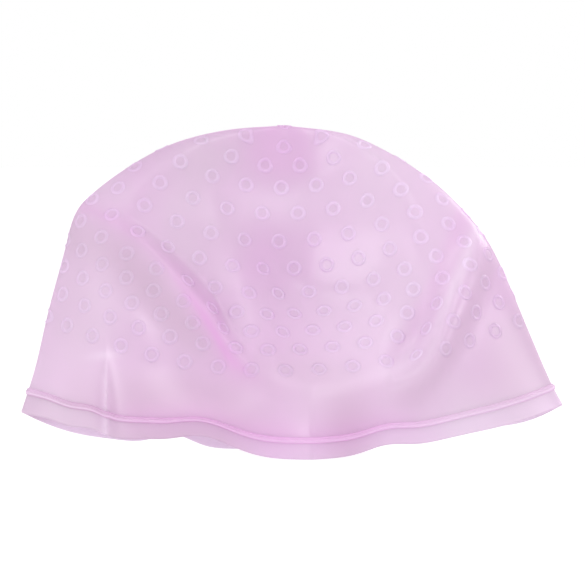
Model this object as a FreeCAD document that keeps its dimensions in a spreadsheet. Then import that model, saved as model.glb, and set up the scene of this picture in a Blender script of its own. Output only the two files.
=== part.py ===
"""Reusable silicone highlighting cap for hair colouring, standing crown up on its hem.

The cap is one soft moulding.  It is modelled as the features that its mould forms, each a closed
solid of its own: the dished front and the plain back of the crown, which meet at the edge folds, the
side band, the hem bead, the hem lip, and the raised rings that mark and reinforce the pull-through
spots, one node per row.

Frame: millimetres, +Z up, -Y is the dished front of the cap, +X to the right seen from the front.
The origin is the middle of the cap's footprint on the surface that it stands on.

The soft shell is one smooth surface.  A place on it has two coordinates: rise, from 0 at the hem to
1 at the apex of the crown, and turn, the angle round the cap (0 right edge, 90 front, 180 left edge,
270 back).
"""
import FreeCAD, Part

import math
import os

import Sketcher

# ---------------------------------------------------------------- driving dimensions

doc = FreeCAD.newDocument("highlighting_cap")
sheet = doc.addObject("Spreadsheet::Sheet", "Dimensions")

DRIVING = [
    ("half_width", 140.5, "half of the cap's width at the hem corners"),
    ("cap_height", 170.0, "floor to the top of the crown"),
    ("front_depth", 48.0, "how far the front wall stands out from the edge folds"),
    ("back_depth", 41.0, "the same for the back wall"),
    ("crown_lean", 25.0, "how far back the apex lies from the edge folds at the hem"),
    ("wall", 1.2, "silicone thickness"),
    ("meridian", 200.0, "hem to apex along the surface"),
    ("lip_top", 8.0, "along the surface, top of the thin lip below the bead"),
    ("bead_top", 11.2, "along the surface, top of the bead"),
    ("band_top", 39.0, "along the surface, top of the plain band"),
    ("bead_rise", 1.2, "how far the bead stands out of the wall"),
    ("dish_floor", 2.0, "how far the dish's deepest line stays out from the edge folds"),
    ("valley", 7.0, "place of that line across the cap"),
    ("left_slope", 0.18, "rise of the dish's floor to the left of it"),
    ("right_slope", 0.31, "rise of the dish's floor to the right of it"),
    ("upper_tilt", 0.3, "how much more the upper part of the floor leans back"),
    ("crest", 13.0, "how far the ridge along the right side of the dish stands out"),
    ("crest_width", 10.0, "half width of that ridge"),
    ("flank", 5.0, "how far the left flank is blown out beside the dish"),
    ("flank_width", 25.0, "half width of the blown-out flank"),
    ("row_pitch", 14.0, "spacing of the ring rows along the surface"),
    ("ring_outer", 3.8, "outer radius of a ring"),
    ("ring_inner", 2.6, "inner radius of a ring"),
    ("ring_rise", 0.4, "height of a ring above the wall"),
]
for line, (alias, value, note) in enumerate(DRIVING, start=1):
    sheet.set(f"A{line}", alias)
    sheet.set(f"B{line}", str(value))
    sheet.setAlias(f"B{line}", alias)
    sheet.set(f"C{line}", note)
doc.recompute()

SIZES = {alias: float(sheet.get(alias)) for alias, _, _ in DRIVING}

# Rings in each row, from the lowest row up to the single ring at the apex.
RINGS_IN_ROW = (32, 32, 32, 32, 28, 26, 22, 19, 16, 12, 6, 1)

# ---------------------------------------------------------------- outline of the soft shell

# Edge folds seen from the front, hem corner to apex: share of half_width, share of cap_height.
LEFT_EDGE = [(-1.0, 0.125), (-0.948, 0.26), (-0.90, 0.43), (-0.842, 0.61), (-0.806, 0.72), (-0.765, 0.772),
             (-0.62, 0.866), (-0.446, 0.943), (-0.25, 0.985), (-0.028, 1.0)]
RIGHT_EDGE = [(1.0, 0.147), (0.955, 0.217), (0.872, 0.376), (0.794, 0.53), (0.725, 0.645), (0.646, 0.73),
              (0.533, 0.822), (0.375, 0.91), (0.205, 0.973), (-0.028, 1.0)]
# Height of the middle of the front and of the back: rise, share of cap_height.
FRONT_MIDDLE = [(0.0, 0.0), (0.23, 0.265), (0.51, 0.49), (0.79, 0.813), (0.93, 0.938), (1.0, 1.0)]
BACK_MIDDLE = [(0.0, 0.0), (0.23, 0.268), (0.5, 0.571), (0.75, 0.835), (0.9, 0.956), (1.0, 1.0)]
# The fold round the dish, from the left shoulder along its low middle to the right shoulder: x, z.
FOLD = [(-135.0, 137.0), (-113.0, 130.0), (-88.0, 118.5), (-66.0, 101.0), (-43.0, 76.0), (-32.0, 58.5),
        (-16.0, 44.5), (14.0, 37.0), (44.0, 39.0), (62.0, 46.0), (72.0, 58.0), (87.0, 87.0), (101.0, 119.0),
        (125.0, 174.0)]
FOLD_REACH = 5.0
# Heights between which the dish's floor leans back more.
UPPER_START, UPPER_END = 120.0, 147.0
# Distance of the blown-out flank from the fold.
FLANK_PLACE = 35.0
# Upright pleats of the skirt: place, reach outwards, half width, where they end along the surface.
FRONT_PLEATS = [(10.5, 9.0, 18.0, 52.0), (-96.0, 8.0, 4.0, 62.0)]
BACK_PLEATS = [(-58.0, 3.0, 16.0), (46.0, 4.0, 20.0)]
BACK_PLEAT_TOP = 110.0
# Waves of the hem: place, rise, half width.
FRONT_WAVES = [(-47.0, 9.5, 22.0), (-76.0, 2.0, 12.0), (-104.0, 3.5, 9.0), (-128.0, 3.0, 10.0),
               (49.0, 4.0, 14.0), (86.0, 2.4, 28.0)]
BACK_WAVES = [(-93.0, 2.2, 20.0), (-63.0, 7.5, 14.0), (88.0, 10.0, 34.0)]
WAVE_TOP = 42.0
# The undished knob round the apex, seen from the front: x, z, radius, how far it stands out.
KNOB = (-5.0, 172.0, 31.0, 5.0)
# Share of a round end in the lens-shaped plan at the hem and at the apex, which softens the edge folds.
ROUND_SHARE = (0.35, 0.9)


def hermite(points, marks, target):
    """The point of the cubic through the points at the target mark."""
    def slope(k):
        before, after = max(k - 1, 0), min(k + 1, len(points) - 1)
        run = marks[after] - marks[before]
        return [(b - a) / run for a, b in zip(points[before], points[after])]

    target = min(max(target, marks[0]), marks[-1])
    i = max(k for k in range(len(points) - 1) if marks[k] <= target)
    run = marks[i + 1] - marks[i]
    t = (target - marks[i]) / run
    start, end = 2 * t**3 - 3 * t**2 + 1, 3 * t**2 - 2 * t**3
    leave, arrive = run * (t**3 - 2 * t**2 + t), run * (t**3 - t**2)
    return [start * a + leave * m + end * b + arrive * n
            for a, b, m, n in zip(points[i], points[i + 1], slope(i), slope(i + 1))]


def path_at(points, along):
    """The point at a share, 0 to 1, of the length of the polyline through the points."""
    marks = [0.0]
    for a, b in zip(points, points[1:]):
        marks.append(marks[-1] + math.dist(a, b))
    return hermite(points, marks, along * marks[-1])


def value_at(points, key):
    """The second coordinate of the points where the first is key."""
    return hermite(points, [p[0] for p in points], key)[1]


def bumps(places, x):
    """Sum of smooth bumps, each given as place, height and half width."""
    return sum(height * math.exp(-((x - at) / wide) ** 2) for at, height, wide in places)


def fade(climb, top):
    """1 at the hem, falling smoothly to 0 at top."""
    t = min(max(climb / top, 0.0), 1.0)
    return 1 - t * t * (3 - 2 * t)


def step_up(value, run):
    """0 below 0, rising smoothly to 1 at run."""
    return 1 - fade(value, run)


def soften(value, soft):
    """The positive part of value, rounded over soft."""
    return value if value > 20 * soft else soft * math.log1p(math.exp(value / soft))


def least(a, b, soft):
    """The smaller of a and b, with a rounded corner."""
    return a - soften(a - b, soft)


def inside_fold(x, z):
    """Distance from the fold round the dish, positive inside it."""
    above = z - value_at(FOLD, x)
    reach = FOLD_REACH + 0.5 * abs(above)
    slope = (value_at(FOLD, x + reach) - value_at(FOLD, x - reach)) / (2 * reach)
    return above / math.hypot(1.0, slope)


def dish_share(x, z, inside):
    """How far the wall has gone from the skirt's surface, 0, to the floor of the dish, 1.

    The left flank rolls in over a broad width and then drops; the bottom is a straight ramp; the right
    side is a narrow ridge with a steep inner face.
    """
    roll = 0.36 * math.exp(-soften(-inside, 2.0) / 26) * step_up(z - 15.0, 35.0)
    left = roll + 0.30 * step_up(inside + 1.0, 8.0) + 0.34 * (1 - math.exp(-soften(inside, 2.0) / 24))
    bottom = least(soften(inside, 5.0) / 46, 1.0, 0.07)
    right = (0.62 * least(soften(inside + 4.0, 3.0) / 13, 1.0, 0.1)
             + 0.38 * (1 - math.exp(-soften(inside, 2.0) / 22)))
    to_left, to_right = fade(x + 50.0, 42.0), step_up(x - 44.0, 26.0)
    return to_left * left + to_right * right + (1 - to_left - to_right) * bottom


def front_reach(x, z, lens, depth, climb):
    """How far the front wall stands out from the edge folds."""
    inside = inside_fold(x, z)
    crest = SIZES["crest"] * math.exp(-((inside + 2.0) / SIZES["crest_width"]) ** 2) * step_up(x - 44.0, 26.0)
    flank = SIZES["flank"] * math.exp(-((inside + FLANK_PLACE) / SIZES["flank_width"]) ** 2)
    flank *= fade(x + 50.0, 42.0) * step_up(z - 42.0, 40.0)
    full = lens * depth * (SIZES["front_depth"] + crest + flank)
    across = x - SIZES["valley"]
    floor = SIZES["dish_floor"] + SIZES["right_slope"] * soften(across, 3.5)
    floor += SIZES["left_slope"] * soften(-across, 3.5)
    floor -= SIZES["upper_tilt"] * lens * depth * (soften(z - UPPER_START, 4.0) - soften(z - UPPER_END, 4.0))
    floor = least(floor, 0.75 * full, 0.05 + 3.0 * lens)
    knob = KNOB[3] * math.exp(-(math.hypot(x - KNOB[0], z - KNOB[1]) / KNOB[2]) ** 6)
    pleats = sum(out * math.exp(-math.hypot((x - at) / wide, 0.08)) * fade(climb, top)
                 for at, out, wide, top in FRONT_PLEATS)
    return full + (floor - full) * dish_share(x, z, inside) + lens * (depth * knob + pleats)


def shell_point(rise, turn):
    """The middle of the wall at (rise, turn), before the origin is put under the middle of the cap."""
    half, height = SIZES["half_width"], SIZES["cap_height"]
    climb = SIZES["meridian"] * rise
    edge = rise - 0.112 * math.sin(math.pi * rise * rise)
    left, right = path_at(LEFT_EDGE, edge), path_at(RIGHT_EDGE, edge)
    across, inward = math.cos(turn), abs(math.sin(turn))
    front = math.sin(turn) >= 0
    rounded = ROUND_SHARE[0] + (ROUND_SHARE[1] - ROUND_SHARE[0]) * rise**2
    lens = rounded * inward + (1 - rounded) * inward**2
    to_right = (1 + across) / 2
    x = half * (left[0] + (right[0] - left[0]) * to_right)
    edge_z = height * (left[1] + (right[1] - left[1]) * to_right)
    middle_z = height * value_at(FRONT_MIDDLE if front else BACK_MIDDLE, rise)
    near_hem = fade(climb, WAVE_TOP)
    flatter = 0.0 if front else near_hem
    z = edge_z - (edge_z - middle_z) * inward**2 * (1 + flatter * across**2)
    z += near_hem * inward * bumps(FRONT_WAVES if front else BACK_WAVES, x)
    depth = math.sqrt(max(1 - rise**4, 0.0)) * (1 + 0.1 * math.sin(math.pi * rise))
    y = SIZES["crown_lean"] * edge**1.6
    if front:
        y -= front_reach(x, z, lens, depth, climb)
    else:
        y += lens * depth * SIZES["back_depth"]
        y += lens * bumps(BACK_PLEATS, x) * fade(climb, BACK_PLEAT_TOP)
    return FreeCAD.Vector(x, y, z)


def footprint_shift():
    """The move that puts the origin under the middle of the cap."""
    around = [shell_point(rise / 40, math.radians(turn)) for rise in range(41) for turn in range(0, 360, 2)]
    low = [min(p[k] for p in around) for k in range(3)]
    high = [max(p[k] for p in around) for k in range(3)]
    return FreeCAD.Vector(-(low[0] + high[0]) / 2, -(low[1] + high[1]) / 2, -low[2])


SHIFT = footprint_shift()


def wall_frame(rise, turn):
    """The middle of the wall at (rise, turn) and the outward normal there."""
    if rise >= 1.0:
        return shell_point(1.0, 0.0) + SHIFT, FreeCAD.Vector(0, 0, 1)
    step = 0.004
    up = shell_point(min(rise + step, 0.999), turn) - shell_point(max(rise - step, 0.0), turn)
    around = shell_point(rise, turn + step) - shell_point(rise, turn - step)
    normal = up.cross(around)
    normal.normalize()
    return shell_point(rise, turn) + SHIFT, normal


# ---------------------------------------------------------------- closed bands of the shell

AROUND = 128
SECTORS = 16


def closed_curve(frames, out):
    """A smooth closed curve through places that stand out from the given frames by out."""
    places = [at + normal * out for at, normal in frames]
    curve = Part.BSplineCurve()
    curve.interpolate(places, PeriodicFlag=True, Parameters=[float(k) for k in range(len(places) + 1)])
    return curve


def faces_through(curves, marks, sectors=1, apex=None):
    """Smooth faces, one a sector, through closed curves in order; marks are their places along the face."""
    rows = [curve.getPoles() for curve in curves]
    if apex is not None:
        rows.insert(apex[0], [apex[1]] * len(rows[0]))
    columns = []
    for column in zip(*rows):
        meridian = Part.BSplineCurve()
        meridian.interpolate(list(column), PeriodicFlag=False, Parameters=marks)
        columns.append(meridian.getPoles())
    around = curves[0]
    surface = Part.BSplineSurface()
    surface.buildFromPolesMultsKnots(
        columns, around.getMultiplicities(), meridian.getMultiplicities(), around.getKnots(),
        meridian.getKnots(), True, False, around.Degree, meridian.Degree)
    if sectors == 1:
        return [surface.toShape()]
    start, end, low, high = surface.bounds()
    cuts = [start + (end - start) * k / sectors for k in range(sectors + 1)]
    faces = []
    for first, last in zip(cuts, cuts[1:]):
        piece = surface.copy()
        piece.segment(first, last, low, high)
        faces.append(piece.toShape())
    return faces


def solid_of(faces):
    """One closed solid from faces that meet edge to edge."""
    shell = Part.Shell(faces)
    shell.sewShape()
    solid = Part.Solid(shell if shell.ShapeType == "Shell" else shell.Shells[0])
    if solid.Volume < 0:
        solid.reverse()
    return solid


def wall_curves(rises, outs):
    """Closed curves round the cap at the given rises, each standing out by its own amount."""
    return [closed_curve([wall_frame(rise, 2 * math.pi * k / AROUND) for k in range(AROUND)], out)
            for rise, out in zip(rises, outs)]


def band(low, high, sections, bulge=0.0):
    """A closed band of the wall from low to high along the surface; bulge stands out at its middle."""
    half_wall = SIZES["wall"] / 2
    shares = [k / (sections - 1) for k in range(sections)]
    rises = [(low + (high - low) * share) / SIZES["meridian"] for share in shares]
    outer = wall_curves(rises, [half_wall + bulge * math.sin(math.pi * share) for share in shares])
    inner = wall_curves(rises, [-half_wall] * sections)
    inner.reverse()
    return solid_of(
        faces_through(outer, shares, SECTORS)
        + faces_through([outer[-1], inner[0]], [0.0, 1.0], SECTORS)
        + faces_through(inner, shares, SECTORS)
        + faces_through([inner[-1], outer[0]], [0.0, 1.0], SECTORS)
    )


def cut_through_wall(outer, inner):
    """The face through the wall where two facing sectors, outer and inner, begin."""
    edges = [face.Surface.uIso(face.Surface.bounds()[0]).toShape() for face in (outer, inner)]
    return Part.makeRuledSurface(*edges)


def crown_halves(low, sections):
    """The front and the back half of the dome above low, which meet along the edge folds and at the apex."""
    half_wall = SIZES["wall"] / 2
    start = low / SIZES["meridian"]
    rises = [start + (0.975 - start) * k / (sections - 1) for k in range(sections)]
    top, normal = wall_frame(1.0, 0.0)
    outer = wall_curves(rises, [half_wall] * sections)
    inner = wall_curves(rises, [-half_wall] * sections)
    inner.reverse()
    marks = rises + [1.0]
    outside = faces_through(outer, marks, SECTORS, (sections, top + normal * half_wall))
    apex = top - normal * half_wall
    inside = faces_through(inner, [1 - mark for mark in reversed(marks)], SECTORS, (0, apex))
    underside = faces_through([inner[-1], outer[0]], [0.0, 1.0], SECTORS)
    halfway = SECTORS // 2
    folds = [cut_through_wall(outside[k], inside[k]) for k in (0, halfway)]
    return [solid_of(outside[half] + inside[half] + underside[half] + folds)
            for half in (slice(0, halfway), slice(halfway, SECTORS))]


# ---------------------------------------------------------------- rings that follow the wall

RING_POINTS = 12


def row_turns(rise, count, phase):
    """Turns of count places spaced evenly by length along one row, from the middle of the front."""
    steps = 720
    points = [shell_point(rise, 2 * math.pi * k / steps) for k in range(steps + 1)]
    lengths = [0.0]
    for a, b in zip(points, points[1:]):
        lengths.append(lengths[-1] + a.distanceToPoint(b))
    turns = []
    for place in range(count):
        target = (lengths[steps // 4] + (place + phase) * lengths[-1] / count) % lengths[-1]
        k = max(i for i in range(steps) if lengths[i] <= target)
        share = (target - lengths[k]) / (lengths[k + 1] - lengths[k])
        turns.append(2 * math.pi * (k + share) / steps)
    return turns


def circle_on_wall(rise, turn, radius):
    """Places and normals round a circle of the given radius drawn on the wall about (rise, turn)."""
    step = 0.004
    along = (shell_point(rise, turn + step) - shell_point(rise, turn - step)) / (2 * step)
    upwards = (shell_point(rise + step, turn) - shell_point(rise - step, turn)) / (2 * step)
    across = along / along.Length
    lean = upwards.dot(across)
    climb = (upwards - across * lean).Length
    frames = []
    for k in range(RING_POINTS):
        angle = 2 * math.pi * k / RING_POINTS
        up = radius * math.sin(angle) / climb
        sideways = (radius * math.cos(angle) - up * lean) / along.Length
        frames.append(wall_frame(rise + up, turn + sideways))
    return frames


def ring_on_wall(rise, turn):
    """One raised ring whose foot follows the outer face of the wall."""
    foot, top = SIZES["wall"] / 2, SIZES["wall"] / 2 + SIZES["ring_rise"]
    section = (("ring_outer", foot), ("ring_outer", top), ("ring_inner", top), ("ring_inner", foot))
    curves = [closed_curve(circle_on_wall(rise, turn, SIZES[radius]), out) for radius, out in section]
    faces = []
    for k in range(4):
        faces += faces_through([curves[k - 1], curves[k]], [0.0, 1.0])
    return solid_of(faces)


def ring_row(row, count):
    """All rings of one row, counted from the lowest."""
    rise = 1 - SIZES["row_pitch"] * (len(RINGS_IN_ROW) - 1 - row) / SIZES["meridian"]
    turns = row_turns(rise, count, 0.5 * (row % 2))
    return Part.makeCompound([ring_on_wall(rise, turn) for turn in turns])


# ---------------------------------------------------------------- sub-parts


def add_part(label, shape):
    """One named sub-part whose freeform shape comes from the surface above."""
    feature = doc.addObject("Part::Feature", label)
    feature.Label = label
    feature.Shape = shape
    feature.Placement = FreeCAD.Placement()
    return feature


crown_front, crown_back = crown_halves(SIZES["band_top"], 28)
parts = [
    add_part("crown_front", crown_front),
    add_part("crown_back", crown_back),
    add_part("side_band", band(SIZES["bead_top"], SIZES["band_top"], 5)),
    add_part("hem_bead", band(SIZES["lip_top"], SIZES["bead_top"], 5, SIZES["bead_rise"])),
    add_part("hem_lip", band(0.0, SIZES["lip_top"], 3)),
]
for row, count in enumerate(RINGS_IN_ROW[:-1]):
    parts.append(add_part(f"ring_row_{row + 1:02d}", ring_row(row, count)))

# The single ring on the apex is flat, so it is sketched and padded.
apex_ring = doc.addObject("PartDesign::Body", "ApexRing")
apex_ring.Label = f"ring_row_{len(RINGS_IN_ROW):02d}"
floor_plane = next(o for o in apex_ring.Origin.OriginFeatures if o.Role == "XY_Plane")
washer = apex_ring.newObject("Sketcher::SketchObject", "Washer")
washer.AttachmentSupport = [(floor_plane, "")]
washer.MapMode = "FlatFace"
for radius in ("ring_outer", "ring_inner"):
    circle = washer.addGeometry(Part.Circle(FreeCAD.Vector(), FreeCAD.Vector(0, 0, 1), SIZES[radius]), False)
    washer.addConstraint(Sketcher.Constraint("Coincident", circle, 3, -1, 1))
    size_of = washer.addConstraint(Sketcher.Constraint("Radius", circle, SIZES[radius]))
    washer.setExpression(f"Constraints[{size_of}]", f"Dimensions.{radius}")
pad = apex_ring.newObject("PartDesign::Pad", "Thickness")
pad.Profile = washer
pad.setExpression("Length", "Dimensions.ring_rise")
apex_ring.Tip = pad
apex, _ = wall_frame(1.0, 0.0)
apex_ring.Placement = FreeCAD.Placement(apex, FreeCAD.Rotation())
apex_ring.setExpression("Placement.Base.z", "Dimensions.cap_height + Dimensions.wall / 2")
parts.append(apex_ring)

# ---------------------------------------------------------------- check and write

doc.recompute()
for item in doc.Objects:
    if "Invalid" in item.State or "Error" in item.State:
        raise RuntimeError(f"{item.Label} did not recompute: {item.State}")
for item in parts:
    if item.Shape.isNull() or not item.Shape.isValid() or not item.Shape.Solids:
        raise RuntimeError(f"{item.Label} is not a valid solid")

os.makedirs("parts", exist_ok=True)
for item in parts:
    item.Shape.exportStep(f"parts/{item.Label}.step")
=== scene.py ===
"""Looks of the silicone highlighting cap: a thin, frosted, translucent pink shell standing on its hem.

Lengths in the shape code are millimetres in the part's own frame; meshes are written in metres.
A place on the shell has two coordinates: rise, 0 at the hem to 1 at the apex, and turn, the angle
round the cap (0 right edge, 90 degrees front, 180 left edge, 270 back).
"""

import math

import bpy
import numpy as np
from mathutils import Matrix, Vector


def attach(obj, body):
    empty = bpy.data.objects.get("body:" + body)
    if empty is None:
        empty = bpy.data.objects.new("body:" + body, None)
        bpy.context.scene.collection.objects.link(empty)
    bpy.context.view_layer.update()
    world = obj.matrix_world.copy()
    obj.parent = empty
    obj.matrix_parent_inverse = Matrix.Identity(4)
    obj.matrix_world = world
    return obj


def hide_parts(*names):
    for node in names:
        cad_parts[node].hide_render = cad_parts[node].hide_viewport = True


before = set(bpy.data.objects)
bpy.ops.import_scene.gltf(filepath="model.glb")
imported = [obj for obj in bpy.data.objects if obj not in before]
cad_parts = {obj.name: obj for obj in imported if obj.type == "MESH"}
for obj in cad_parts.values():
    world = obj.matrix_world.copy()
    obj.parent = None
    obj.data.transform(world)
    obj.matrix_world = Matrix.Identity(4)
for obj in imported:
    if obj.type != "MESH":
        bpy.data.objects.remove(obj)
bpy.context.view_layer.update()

# ---------------------------------------------------------------- sizes, as in the part

HALF_WIDTH, CAP_HEIGHT = 140.5, 170.0
FRONT_DEPTH, BACK_DEPTH, CROWN_LEAN = 48.0, 41.0, 25.0
WALL, MERIDIAN = 1.2, 200.0
LIP_TOP, BEAD_TOP = 8.0, 11.2
BEAD_RISE = 1.2
DISH_FLOOR, VALLEY, LEFT_SLOPE, RIGHT_SLOPE = 2.0, 7.0, 0.18, 0.31
UPPER_TILT, UPPER_START, UPPER_END = 0.3, 120.0, 147.0
ROW_PITCH, RING_OUTER, RING_INNER, RING_RISE = 14.0, 3.8, 2.6, 0.36
RINGS_IN_ROW = (32, 32, 32, 32, 28, 26, 22, 19, 16, 12, 6, 1)

# Edge folds seen from the front, hem corner to apex: share of HALF_WIDTH, share of CAP_HEIGHT.
LEFT_EDGE = [(-1.0, 0.125), (-0.948, 0.26), (-0.90, 0.43), (-0.842, 0.61), (-0.806, 0.72), (-0.765, 0.772),
             (-0.62, 0.866), (-0.446, 0.943), (-0.25, 0.985), (-0.028, 1.0)]
RIGHT_EDGE = [(1.0, 0.147), (0.955, 0.217), (0.872, 0.376), (0.794, 0.53), (0.725, 0.645), (0.646, 0.73),
              (0.533, 0.822), (0.375, 0.91), (0.205, 0.973), (-0.028, 1.0)]
# Height of the middle of the front and of the back: rise, share of CAP_HEIGHT.
FRONT_MIDDLE = [(0.0, 0.0), (0.23, 0.265), (0.51, 0.49), (0.79, 0.813), (0.93, 0.938), (1.0, 1.0)]
BACK_MIDDLE = [(0.0, 0.0), (0.23, 0.268), (0.5, 0.571), (0.75, 0.835), (0.9, 0.956), (1.0, 1.0)]
# The fold round the dish, from the left shoulder along its low middle to the right shoulder: x, z.
FOLD = [(-135.0, 137.0), (-113.0, 130.0), (-88.0, 118.5), (-66.0, 101.0), (-43.0, 76.0), (-32.0, 58.5),
        (-16.0, 44.5), (14.0, 37.0), (44.0, 39.0), (62.0, 46.0), (72.0, 58.0), (87.0, 87.0), (101.0, 119.0),
        (125.0, 174.0)]
FOLD_REACH = 5.0
# Upright pleats of the skirt: place, reach outwards, half width, where they end along the surface.
FRONT_PLEATS = [(10.5, 9.0, 18.0, 52.0), (-96.0, 8.0, 4.0, 62.0)]
BACK_PLEATS = [(-58.0, 3.0, 16.0), (46.0, 4.0, 20.0)]
BACK_PLEAT_TOP = 110.0
# Waves of the hem: place, rise, half width.
FRONT_WAVES = [(-47.0, 9.5, 22.0), (-76.0, 2.0, 12.0), (-104.0, 3.5, 9.0), (-128.0, 3.0, 10.0),
               (49.0, 4.0, 14.0), (86.0, 2.4, 28.0)]
BACK_WAVES = [(-93.0, 2.2, 20.0), (-63.0, 7.5, 14.0), (88.0, 10.0, 34.0)]
WAVE_TOP = 42.0
# The undished knob round the apex, seen from the front: x, z, radius, how far it stands out.
KNOB = (-5.0, 172.0, 31.0, 5.0)
# The ridge right of the dish and the blown-out left flank: reach, place, half width.
CREST, CREST_WIDTH = 13.0, 10.0
FLANK, FLANK_PLACE, FLANK_WIDTH = 5.0, 35.0, 25.0
# Share of a round end in the lens-shaped plan at the hem and at the apex.
ROUND_SHARE = (0.35, 0.9)

# Patches of painted light and shade seen from the front: strength, x, z, half width, half height, power.
# Painted shade: a deeper pink on the knob.
DEEP_SHADE_PATCHES = [(0.25, -5.0, 160.0, 20.0, 20.0, 4)]
# Painted shade: greyer on the left skirt, beside the middle pleat, at the foot of the dish and on both
# flanks.
PAINTED_SHADE_PATCHES = [(1.1, -72.0, 18.0, 58.0, 26.0, 4), (1.2, 29.0, 12.0, 13.0, 20.0, 2),
                  (0.5, 4.0, 44.0, 40.0, 12.0, 2), (0.6, 118.0, 50.0, 22.0, 34.0, 2),
                  (0.4, -110.0, 60.0, 16.0, 40.0, 2)]
# Painted light: paler below the knob and on the right skirt.
PAINTED_LIGHT_PATCHES = [(0.5, -9.0, 133.0, 26.0, 14.0, 2), (0.3, 92.0, 18.0, 22.0, 14.0, 2)]
# Painted highlight on the hooked top of the small tuck at the left, and how far it slants.
TUCK_HIGHLIGHT, TUCK_SLANT = (0.6, -96.5, 64.0, 8.5, 2.4, 2), 0.12
# The strongest painted light or shade, and how far it reaches round the edge folds onto the back.
MOST_TINT, TINT_ROUND_FOLD = 1.3, 14.0


def hermite(marks, values, at):
    """Smooth curve through the values at the marks."""
    marks, values = np.asarray(marks, float), np.asarray(values, float)
    last = len(marks) - 1
    before, after = np.maximum(np.arange(last + 1) - 1, 0), np.minimum(np.arange(last + 1) + 1, last)
    slopes = (values[after] - values[before]) / (marks[after] - marks[before])
    at = np.clip(at, marks[0], marks[-1])
    i = np.clip(np.searchsorted(marks, at, side="right") - 1, 0, last - 1)
    run = marks[i + 1] - marks[i]
    t = (at - marks[i]) / run
    return ((2 * t**3 - 3 * t**2 + 1) * values[i] + (t**3 - 2 * t**2 + t) * run * slopes[i]
            + (3 * t**2 - 2 * t**3) * values[i + 1] + (t**3 - t**2) * run * slopes[i + 1])


def path_at(points, along):
    """The point at a share of the length of the polyline through the points."""
    p = np.asarray(points, float)
    marks = np.concatenate([[0.0], np.cumsum(np.hypot(*(p[1:] - p[:-1]).T))])
    along = np.clip(along, 0.0, 1.0) * marks[-1]
    return hermite(marks, p[:, 0], along), hermite(marks, p[:, 1], along)


def value_at(points, key):
    """The second coordinate of the points where the first is key."""
    p = np.asarray(points, float)
    return hermite(p[:, 0], p[:, 1], key)


def fade(climb, top):
    """1 at 0, falling smoothly to 0 at top."""
    t = np.clip(climb / top, 0.0, 1.0)
    return 1 - t * t * (3 - 2 * t)


def band(place, at, wide):
    """A soft band, 1 where place is at, of the given half width."""
    return np.exp(-((place - at) / wide) ** 2)


def bumps(places, x):
    """Sum of smooth bumps, each given as place, height and half width."""
    return sum(height * band(x, at, wide) for at, height, wide in places)


def inside_fold(x, z):
    """Distance from the fold round the dish, positive inside it."""
    above = z - value_at(FOLD, x)
    reach = FOLD_REACH + 0.5 * np.abs(above)
    slope = (value_at(FOLD, x + reach) - value_at(FOLD, x - reach)) / (2 * reach)
    return above / np.hypot(1, slope)


def soften(value, soft):
    """The positive part of value, rounded over soft."""
    return np.where(value < 20 * soft, soft * np.log1p(np.exp(np.minimum(value, 20 * soft) / soft)), value)


def least(a, b, soft):
    """The smaller of a and b, with a rounded corner."""
    return a - soften(a - b, soft)


def step_up(value, run):
    """0 below 0, rising smoothly to 1 at run."""
    return 1 - fade(value, run)


def on_left_side(x):
    """1 left of the dish, falling to 0 towards its middle."""
    return fade(x + 50.0, 42.0)


def on_right_side(x):
    """0 in the middle of the dish, rising to 1 at its right side."""
    return step_up(x - 44.0, 26.0)


def dish_share(x, z):
    """How far the wall has gone from the skirt's surface, 0, to the floor of the dish, 1.

    The left flank rolls in over a broad width and then drops; the bottom is a straight ramp; the right
    side is a narrow ridge with a steep inner face.
    """
    inside = inside_fold(x, z)
    roll = 0.36 * np.exp(-soften(-inside, 2.0) / 26) * step_up(z - 15.0, 35.0)
    left = roll + 0.30 * step_up(inside + 1.0, 8.0) + 0.34 * (1 - np.exp(-soften(inside, 2.0) / 24))
    bottom = least(soften(inside, 5.0) / 46, 1.0, 0.07)
    right = (0.62 * least(soften(inside + 4.0, 3.0) / 13, 1.0, 0.1)
             + 0.38 * (1 - np.exp(-soften(inside, 2.0) / 22)))
    to_left, to_right = on_left_side(x), on_right_side(x)
    return to_left * left + to_right * right + (1 - to_left - to_right) * bottom


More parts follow.
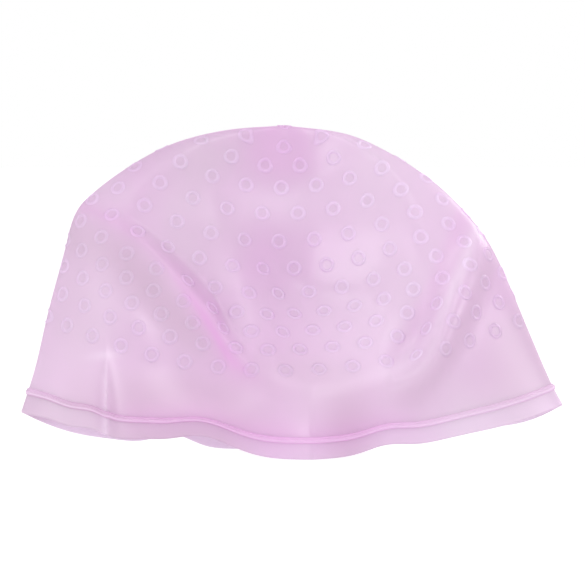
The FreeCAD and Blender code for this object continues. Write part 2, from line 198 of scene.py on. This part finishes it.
def shell_point(rise, turn):
    """The middle of the wall at (rise, turn), before the footprint is centred."""
    rise, turn = np.broadcast_arrays(np.asarray(rise, float), np.asarray(turn, float))
    climb = MERIDIAN * rise
    edge = rise - 0.112 * np.sin(math.pi * rise * rise)
    left_x, left_z = path_at(LEFT_EDGE, edge)
    right_x, right_z = path_at(RIGHT_EDGE, edge)
    across, inward = np.cos(turn), np.abs(np.sin(turn))
    front = np.sin(turn) >= 0
    rounded = ROUND_SHARE[0] + (ROUND_SHARE[1] - ROUND_SHARE[0]) * rise**2
    lens = rounded * inward + (1 - rounded) * inward**2
    to_right = (1 + across) / 2
    x = HALF_WIDTH * (left_x + (right_x - left_x) * to_right)
    edge_z = CAP_HEIGHT * (left_z + (right_z - left_z) * to_right)
    middle_z = CAP_HEIGHT * np.where(front, value_at(FRONT_MIDDLE, rise), value_at(BACK_MIDDLE, rise))
    near_hem = fade(climb, WAVE_TOP)
    flatter = np.where(front, 0.0, near_hem)
    z = edge_z - (edge_z - middle_z) * inward**2 * (1 + flatter * across**2)
    z = z + near_hem * inward * np.where(front, bumps(FRONT_WAVES, x), bumps(BACK_WAVES, x))
    depth = np.sqrt(np.maximum(1 - rise**4, 0.0)) * (1 + 0.1 * np.sin(math.pi * rise))
    lean = CROWN_LEAN * edge**1.6
    pleats = sum(out * np.exp(-np.hypot((x - at) / wide, 0.08)) * fade(climb, top)
                 for at, out, wide, top in FRONT_PLEATS)
    knob = KNOB[3] * np.exp(-(np.hypot(x - KNOB[0], z - KNOB[1]) / KNOB[2]) ** 6)
    inside = inside_fold(x, z)
    crest = CREST * band(inside, -2.0, CREST_WIDTH) * on_right_side(x)
    flank = FLANK * band(inside, -FLANK_PLACE, FLANK_WIDTH) * on_left_side(x) * step_up(z - 42.0, 40.0)
    full = lens * depth * (FRONT_DEPTH + crest + flank)
    valley = DISH_FLOOR + RIGHT_SLOPE * soften(x - VALLEY, 3.5) + LEFT_SLOPE * soften(VALLEY - x, 3.5)
    upper = UPPER_TILT * lens * depth * (soften(z - UPPER_START, 4.0) - soften(z - UPPER_END, 4.0))
    floor = least(valley - upper, 0.75 * full, 0.05 + 3.0 * lens)
    y_front = (lean - full + (full - floor) * dish_share(x, z) - lens * depth * knob
               - lens * pleats)
    y_back = lean + lens * depth * BACK_DEPTH + lens * bumps(BACK_PLEATS, x) * fade(climb, BACK_PLEAT_TOP)
    return np.stack([x, np.where(front, y_front, y_back), z], -1)


def footprint_shift():
    """The move that centres the footprint on the origin, the same as in the part."""
    places = shell_point(np.linspace(0, 1, 41)[:, None], np.radians(np.arange(0, 360, 2))[None, :])
    low, high = places.min((0, 1)), places.max((0, 1))
    return np.array([-(low[0] + high[0]) / 2, -(low[1] + high[1]) / 2, -low[2]])


SHIFT = footprint_shift()


def wall_frame(rise, turn):
    """The middle of the wall and its outward normal."""
    rise, turn = np.broadcast_arrays(np.asarray(rise, float), np.asarray(turn, float))
    step = 0.002
    up = (shell_point(np.minimum(rise + step, 0.9995), turn)
          - shell_point(np.minimum(np.maximum(rise - step, 0.0), 0.997), turn))
    below_apex = np.minimum(rise, 0.998)
    around = shell_point(below_apex, turn + step) - shell_point(below_apex, turn - step)
    normal = np.cross(up, around)
    normal /= np.linalg.norm(normal, axis=-1, keepdims=True)
    return shell_point(rise, turn) + SHIFT, normal


# ---------------------------------------------------------------- where light and shade are painted into the colour

def patches(places, x, z):
    """Sum of rounded patches in the front view, each as strength, x, z, half width, half height, power."""
    return sum(strength * np.exp(-np.hypot((x - at_x) / wide, (z - at_z) / tall) ** power)
               for strength, at_x, at_z, wide, tall, power in places)


def seen_from_front(points):
    """Place in the cap's own frame, how far it belongs to the front wall, and its height above the bead."""
    x, y, z = (points - SHIFT).T
    front = fade(y - value_at([(0.0, 0.0), (CAP_HEIGHT, CROWN_LEAN)], z), TINT_ROUND_FOLD)
    bead_line = shell_point(BEAD_TOP / MERIDIAN, np.linspace(math.pi, 0, 240))
    return x, z, front, z - np.interp(x, bead_line[:, 0], bead_line[:, 2])


def painted_crease_shade(points):
    """Painted shade as a deeper pink: along the crease, inside the right fold, on the knob, round the bead.
    """
    x, z, front, over_bead = seen_from_front(points)
    inside = inside_fold(x, z)
    crease_line = inside + 4.0 * fade(z - 62.0, 50.0)
    crease = 0.35 * band(crease_line, 0.0, 2.2) + 0.4 * band(crease_line, 1.0, 6.5)
    crease = crease * fade(x + 40.0, 30.0) * (0.35 + 0.65 * fade(z - 65.0, 50.0))
    right_fold = 0.2 * band(inside, 14.0, 7.0) * step_up(x - 40.0, 30.0)
    hem = 0.5 * np.exp(-np.abs(over_bead) / 9.0) * step_up(x + 125.0, 60.0) * fade(x - 30.0, 60.0)
    return front * np.clip(crease + right_fold + patches(DEEP_SHADE_PATCHES, x, z) + hem, 0, 1)


def painted_shade(points):
    """Painted shade, greyer: the roll beside the crease, behind the right crest, the left lip, patches."""
    x, z, front, over_bead = seen_from_front(points)
    inside = inside_fold(x, z)
    roll = 0.8 * band(inside, -15.0, 12.0) * fade(x + 40.0, 30.0) * step_up(z - 40.0, 30.0)
    behind_crest = 0.45 * band(inside, -9.0, 6.0) * on_right_side(x)
    lip = step_up(-over_bead, 4.0) * fade(x + 70.0, 60.0)
    return front * np.clip(roll + behind_crest + patches(PAINTED_SHADE_PATCHES, x, z) + lip, 0, MOST_TINT)


def painted_light(points):
    """Painted light, paler: the dish's right half, a crest highlight, the left flank, the tuck, patches."""
    x, z, front, _ = seen_from_front(points)
    inside = inside_fold(x, z)
    right_half = 0.6 * step_up(x + 20.0, 60.0) * step_up(z - 20.0, 40.0) * step_up(inside + 8.0, 14.0)
    crest_highlight = 0.5 * band(inside, 3.5, 2.8) * step_up(x - 30.0, 40.0)
    left_flank = 0.3 * fade(x + 105.0, 30.0)
    tuck = 0.5 * band(x, -96.5, 1.6) * fade(z - 36.0, 16.0)
    tuck = tuck + patches([TUCK_HIGHLIGHT], x, z - TUCK_SLANT * x)
    front_painted_light = np.clip(right_half + crest_highlight + left_flank + tuck + patches(PAINTED_LIGHT_PATCHES, x, z), 0, MOST_TINT)
    # Painted light on the lowest hem of the back wall.
    back_lip = 0.9 * fade(z - 12.0, 14.0)
    return front * front_painted_light + (1 - front) * back_lip


# ---------------------------------------------------------------- mesh building

def new_piece(name, points, faces, normals=None):
    """A smooth mesh piece from points in millimetres; given point normals are set on every corner."""
    mesh = bpy.data.meshes.new(name)
    mesh.from_pydata((points * 0.001).tolist(), [], faces)
    mesh.update()
    piece = bpy.data.objects.new(name, mesh)
    bpy.context.scene.collection.objects.link(piece)
    mesh.polygons.foreach_set("use_smooth", np.ones(len(mesh.polygons), bool))
    # Painted crease shade, painted shade and painted light, kept as point attributes.
    for values in (painted_crease_shade, painted_shade, painted_light):
        mesh.attributes.new(values.__name__, "FLOAT", "POINT").data.foreach_set("value", values(points))
    if normals is not None:
        corner = np.zeros(len(mesh.loops), int)
        mesh.loops.foreach_get("vertex_index", corner)
        mesh.normals_split_custom_set(normals[corner].tolist())
    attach(piece, "root")
    return piece


def grid_faces(rows, columns, first=0):
    """Quads between rows of points that close round in columns."""
    r, c = np.meshgrid(np.arange(rows - 1), np.arange(columns), indexing="ij")
    a = first + r * columns + c
    b = first + r * columns + (c + 1) % columns
    return np.stack([a, b, b + columns, a + columns], -1).reshape(-1, 4)


AROUND = 520
TURNS = 2 * math.pi * np.arange(AROUND) / AROUND


def wall_band(low, high, outer_rows, inner_rows, outside=None, inside=None):
    """A band of wall between two climbs; outside and inside give each face's place through the wall."""
    outside = outside or (lambda share: WALL / 2 + 0 * share)
    inside = inside or (lambda share: -WALL / 2 + 0 * share)
    places, normals = [], []
    for rows, offset, sign in ((outer_rows, outside, 1), (inner_rows, inside, -1)):
        share = np.linspace(0, 1, rows)
        rise = (low + (high - low) * share) / MERIDIAN
        at, out = wall_frame(rise[:, None], TURNS[None, :])
        spot = at + out * offset(share)[:, None, None]
        up, round_ = np.gradient(spot, axis=0), np.roll(spot, -1, 1) - np.roll(spot, 1, 1)
        normal = np.cross(up, round_)
        normal /= np.linalg.norm(normal, axis=-1, keepdims=True)
        flat = np.abs(offset(share) - offset(share)[0]).max() < 1e-6
        places.append(spot.reshape(-1, 3))
        normals.append((sign * (out if flat else normal)).reshape(-1, 3))
    points, normal = np.concatenate(places), np.concatenate(normals)
    count = outer_rows * AROUND
    faces = [grid_faces(outer_rows, AROUND)[:, ::-1], grid_faces(inner_rows, AROUND, count)]
    column = np.arange(AROUND)
    after = (column + 1) % AROUND
    bottom_out, bottom_in = column, count + column
    top_out, top_in = (outer_rows - 1) * AROUND + column, count + (inner_rows - 1) * AROUND + column
    return points, normal, faces, (bottom_out, bottom_in, top_out, top_in, after)


def closed_band(name, low, high, outer_rows, inner_rows, outside=None, inside=None):
    """A closed band of wall: its two faces joined along its lower and upper edges."""
    points, normal, faces, (b_out, b_in, t_out, t_in, after) = wall_band(
        low, high, outer_rows, inner_rows, outside, inside)
    faces.append(np.stack([b_out, b_out[after], b_in[after], b_in], -1))
    faces.append(np.stack([t_out, t_in, t_in[after], t_out[after]], -1))
    return new_piece(name, points, np.concatenate(faces).tolist(), normal)


def crown(name, low, outer_rows, inner_rows):
    """The closed dome above low, with one point outside and one inside at the apex."""
    top = 0.998 * MERIDIAN
    points, normal, faces, (b_out, b_in, t_out, t_in, after) = wall_band(low, top, outer_rows, inner_rows)
    faces.append(np.stack([b_out, b_out[after], b_in[after], b_in], -1))
    apex = shell_point(1.0, 0.0) + SHIFT
    count = len(points)
    points = np.vstack([points, apex + [0, 0, WALL / 2], apex - [0, 0, WALL / 2]])
    normal = np.vstack([normal, [0, 0, 1], [0, 0, -1]])
    quads = np.concatenate(faces).tolist()
    fans = [[int(b), int(a), count] for a, b in zip(t_out, t_out[after])]
    fans += [[int(a), int(b), count + 1] for a, b in zip(t_in, t_in[after])]
    return new_piece(name, points, quads + fans, normal)


# ---------------------------------------------------------------- rings

RING_SEGMENTS = 28
# The ring's section from inner foot over the top to outer foot: share of its width, share of its height.
RING_SECTION = [(-0.45, -0.45), (-0.40, -0.12), (-0.18, 0.12), (0.02, 0.52), (0.2, 0.88), (0.4, 1.0),
                (0.6, 1.0), (0.8, 0.88), (0.98, 0.52), (1.18, 0.12), (1.40, -0.12), (1.45, -0.45)]


def row_turns(rise, count, phase):
    """Turns of count places spaced evenly by length along one row, from the middle of the front."""
    steps = 720
    points = shell_point(rise, np.linspace(0, 2 * math.pi, steps + 1))
    lengths = np.concatenate([[0.0], np.cumsum(np.linalg.norm(np.diff(points, axis=0), axis=1))])
    target = (lengths[steps // 4] + (np.arange(count) + phase) * lengths[-1] / count) % lengths[-1]
    return np.interp(target, lengths, np.linspace(0, 2 * math.pi, steps + 1))


def ring_row(row, count):
    """One row of raised rings that grow out of the wall, from row 0 above the side band to the apex."""
    width = RING_OUTER - RING_INNER
    reach = np.array([RING_INNER + width * share for share, _ in RING_SECTION])
    height = np.array([WALL / 2 + RING_RISE * share for _, share in RING_SECTION])
    angle = 2 * math.pi * np.arange(RING_SEGMENTS) / RING_SEGMENTS
    rise = 1 - ROW_PITCH * (len(RINGS_IN_ROW) - 1 - row) / MERIDIAN
    points, faces = [], []
    for turn in row_turns(min(rise, 0.9999), count, 0.5 * (row % 2)):
        if rise >= 1:  # the ring round the apex
            small = 0.01
            spread = np.linalg.norm(shell_point(1 - small, angle) - shell_point(1.0, 0.0), axis=-1)
            rises, turns = 1 - small * reach[:, None] / spread[None, :], angle[None, :] + 0 * reach[:, None]
        else:
            step = 0.004
            along = (shell_point(rise, turn + step) - shell_point(rise, turn - step)) / (2 * step)
            upwards = (shell_point(rise + step, turn) - shell_point(rise - step, turn)) / (2 * step)
            across = along / np.linalg.norm(along)
            lean = upwards @ across
            climb = np.linalg.norm(upwards - across * lean)
            up = reach[:, None] * np.sin(angle)[None, :] / climb
            rises = rise + up
            turns = turn + (reach[:, None] * np.cos(angle)[None, :] - up * lean) / np.linalg.norm(along)
        at, out = wall_frame(rises, turns)
        ring = (at + out * height[:, None, None]).reshape(-1, 3)
        first = sum(len(p) for p in points)
        quads = grid_faces(len(reach), RING_SEGMENTS, first)
        k = np.arange(RING_SEGMENTS)
        after = (k + 1) % RING_SEGMENTS
        last = first + (len(reach) - 1) * RING_SEGMENTS
        under = np.stack([first + k, last + k, last + after, first + after], -1)
        faces.append(np.concatenate([quads, under]))
        points.append(ring)
    piece = new_piece(f"rings_{row + 1:02d}", np.concatenate(points), np.concatenate(faces).tolist())
    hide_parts(f"ring_row_{row + 1:02d}")
    return piece


# ---------------------------------------------------------------- material

SILICONE_SURFACE = {"IOR": 1.41, "Specular IOR Level": 1.0, "Coat Weight": 0.4, "Coat Roughness": 0.3,
                    "Sheen Weight": 0.6, "Sheen Roughness": 0.35, "Sheen Tint": (1.0, 0.55, 0.95, 1)}
# Share of the light that passes through the wall and is scattered by it.
SHARE_THROUGH = 0.5
# What each painted light or shade attribute does to the silicone's colour where it is 1.
COLOUR_CHANGES = (("painted_shade", (0.90, 0.89, 0.88)), ("painted_light", (1.08, 1.18, 1.09)),
                  ("painted_crease_shade", (1.01, 0.75, 0.99)))


def set_inputs(node, values):
    """Set the named inputs of a shader node."""
    for name, value in values.items():
        node.inputs[name].default_value = value


def silicone(name, colour, roughness):
    """Satin silicone: a coated, sheened surface mixed with light that passes through the wall."""
    material = bpy.data.materials.new(name)
    material.use_nodes = True
    nodes, links = material.node_tree.nodes, material.node_tree.links
    shader = nodes["Principled BSDF"]
    where = nodes.new("ShaderNodeTexCoord")
    cloud = nodes.new("ShaderNodeTexNoise")
    set_inputs(cloud, {"Scale": 14.0, "Detail": 2.0})
    ramp = nodes.new("ShaderNodeValToRGB")
    ramp.color_ramp.elements[0].position, ramp.color_ramp.elements[1].position = 0.3, 0.7
    ramp.color_ramp.elements[0].color = (colour[0], colour[1] * 0.95, colour[2], 1)
    ramp.color_ramp.elements[1].color = (colour[0] * 0.99, colour[1] * 1.05, colour[2] * 0.99, 1)
    tint = ramp.outputs["Color"]
    # Painted shade and painted light: each attribute blends the base colour towards its change.
    for attribute, change in COLOUR_CHANGES:
        amount = nodes.new("ShaderNodeAttribute")
        amount.attribute_name = attribute
        blend = nodes.new("ShaderNodeMix")
        blend.data_type = "RGBA"
        blend.clamp_factor = False
        blend.inputs["B"].default_value = tuple(share * part for share, part in zip(change, colour)) + (1,)
        links.new(amount.outputs["Fac"], blend.inputs["Factor"])
        links.new(tint, blend.inputs["A"])
        tint = blend.outputs["Result"]
    grain = nodes.new("ShaderNodeTexNoise")
    set_inputs(grain, {"Scale": 900.0, "Detail": 2.0})
    bump = nodes.new("ShaderNodeBump")
    set_inputs(bump, {"Strength": 0.08, "Distance": 0.0004})
    links.new(where.outputs["Object"], cloud.inputs["Vector"])
    links.new(where.outputs["Object"], grain.inputs["Vector"])
    links.new(cloud.outputs["Fac"], ramp.inputs["Fac"])
    links.new(tint, shader.inputs["Base Color"])
    links.new(grain.outputs["Fac"], bump.inputs["Height"])
    links.new(bump.outputs["Normal"], shader.inputs["Normal"])
    set_inputs(shader, SILICONE_SURFACE)
    set_inputs(shader, {"Roughness": roughness})
    through = nodes.new("ShaderNodeBsdfTranslucent")
    mix = nodes.new("ShaderNodeMixShader")
    set_inputs(mix, {"Fac": SHARE_THROUGH})
    links.new(tint, through.inputs["Color"])
    links.new(shader.outputs["BSDF"], mix.inputs[1])
    links.new(through.outputs["BSDF"], mix.inputs[2])
    links.new(mix.outputs["Shader"], nodes["Material Output"].inputs["Surface"])
    return material


skin = silicone("silicone_skin", (0.83, 0.66, 0.82), 0.33)
thin = silicone("silicone_thin", (0.84, 0.68, 0.84), 0.34)
edge = silicone("silicone_edge", (0.92, 0.71, 0.91), 0.16)
raised = silicone("silicone_raised", (0.885, 0.715, 0.897), 0.40)

skin_shell = crown("shell", BEAD_TOP, 128, 44)
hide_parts("crown_front", "crown_back", "side_band")


def bead_section(share):
    """The bead's outer face: a round bulge with a fine groove in its upper half."""
    groove = 0.35 * band(share, 0.66, 0.07)
    return WALL / 2 + BEAD_RISE * np.sin(math.pi * share) ** 0.7 * (1 - groove)


BEAD_ROWS, BEAD_INNER_ROWS = 17, 4
bead = closed_band("bead", LIP_TOP, BEAD_TOP, BEAD_ROWS, BEAD_INNER_ROWS, bead_section)
# Painted highlight: a paler line low on the bead's outer face.
bead_highlight = band(np.linspace(0, 1, BEAD_ROWS), 0.3, 0.12).repeat(AROUND)
inner_face = np.zeros(BEAD_INNER_ROWS * AROUND)
bead.data.attributes["painted_light"].data.foreach_set("value", np.append(bead_highlight, inner_face))
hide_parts("hem_bead")


def lip_section(share):
    """Half of the lip's thickness, rounded off at its lower edge."""
    return WALL / 2 * np.sqrt(np.clip(1 - (1 - np.clip(share / 0.09, 0, 1)) ** 2, 0.04, 1))


lip = closed_band("lip", 0.0, LIP_TOP, 22, 22, lip_section, lambda share: -lip_section(share))
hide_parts("hem_lip")

skin_shell.data.materials.append(skin)
lip.data.materials.append(thin)
bead.data.materials.append(edge)
for row, count in enumerate(RINGS_IN_ROW):
    ring_row(row, count).data.materials.append(raised)

# ---------------------------------------------------------------- floor, light, camera

floor_mesh = bpy.data.meshes.new("floor")
floor_corners = [(-6, -6, -0.0002), (6, -6, -0.0002), (6, 9, -0.0002), (-6, 9, -0.0002)]
floor_mesh.from_pydata(floor_corners, [], [(0, 1, 2, 3)])
floor = bpy.data.objects.new("floor", floor_mesh)
bpy.context.scene.collection.objects.link(floor)
pale = bpy.data.materials.new("pale_floor")
pale.use_nodes = True
set_inputs(pale.node_tree.nodes["Principled BSDF"],
           {"Base Color": (0.14, 0.14, 0.14, 1), "Roughness": 0.9,
            "Emission Color": (1, 1, 1, 1), "Emission Strength": 0.93})
floor_mesh.materials.append(pale)

# Strength of the white surroundings as light; the camera sees them at 1.
AMBIENT = 0.92
scene = bpy.context.scene
scene.view_settings.view_transform = "Standard"
world = bpy.data.worlds.new("studio")
world.use_nodes = True
background = world.node_tree.nodes["Background"]
set_inputs(background, {"Color": (1, 1, 1, 1)})
path = world.node_tree.nodes.new("ShaderNodeLightPath")
strength = world.node_tree.nodes.new("ShaderNodeMapRange")
set_inputs(strength, {"To Min": AMBIENT, "To Max": 1.0})
world.node_tree.links.new(path.outputs["Is Camera Ray"], strength.inputs["Value"])
world.node_tree.links.new(strength.outputs["Result"], background.inputs["Strength"])
scene.world = world


def softbox(name, at, size, power, aim=(0.0, 0.0, 0.08)):
    """A square lamp of the given size, in metres, and power, in watts, turned to its aim."""
    lamp = bpy.data.lights.new(name, "AREA")
    lamp.size, lamp.energy = size, power
    holder = bpy.data.objects.new(name, lamp)
    holder.location = at
    holder.rotation_euler = (Vector(aim) - Vector(at)).to_track_quat("-Z", "Y").to_euler()
    scene.collection.objects.link(holder)
    return holder


softbox("key", (-1.65, -0.80, 0.50), 0.6, 3.2)
softbox("front_key", (-1.0, -1.55, 0.40), 0.35, 5.2)
softbox("fill", (1.75, -0.5, 0.58), 0.6, 6.5)
softbox("top", (-0.85, -0.57, 1.60), 0.45, 2.0)
softbox("back", (1.3, 1.0, 1.0), 0.6, 8.0)
softbox("overhead", (0.45, -0.95, 1.45), 0.7, 3.8)

# The camera looks straight at the front from far off and slightly above.
VIEW_WIDTH, DISTANCE, ELEVATION = 0.3042, 3.5, math.radians(2.0)
aim = Vector((0.0003, 0.0, 0.0840))
lens = bpy.data.cameras.new("camera")
lens.sensor_width = 36.0
lens.lens = 36.0 * DISTANCE / VIEW_WIDTH
lens.clip_end = 50.0
camera = bpy.data.objects.new("camera", lens)
camera.location = aim + Vector((0.0, -math.cos(ELEVATION), math.sin(ELEVATION))) * DISTANCE
camera.rotation_euler = (aim - camera.location).to_track_quat("-Z", "Y").to_euler()
scene.collection.objects.link(camera)
scene.camera = camera
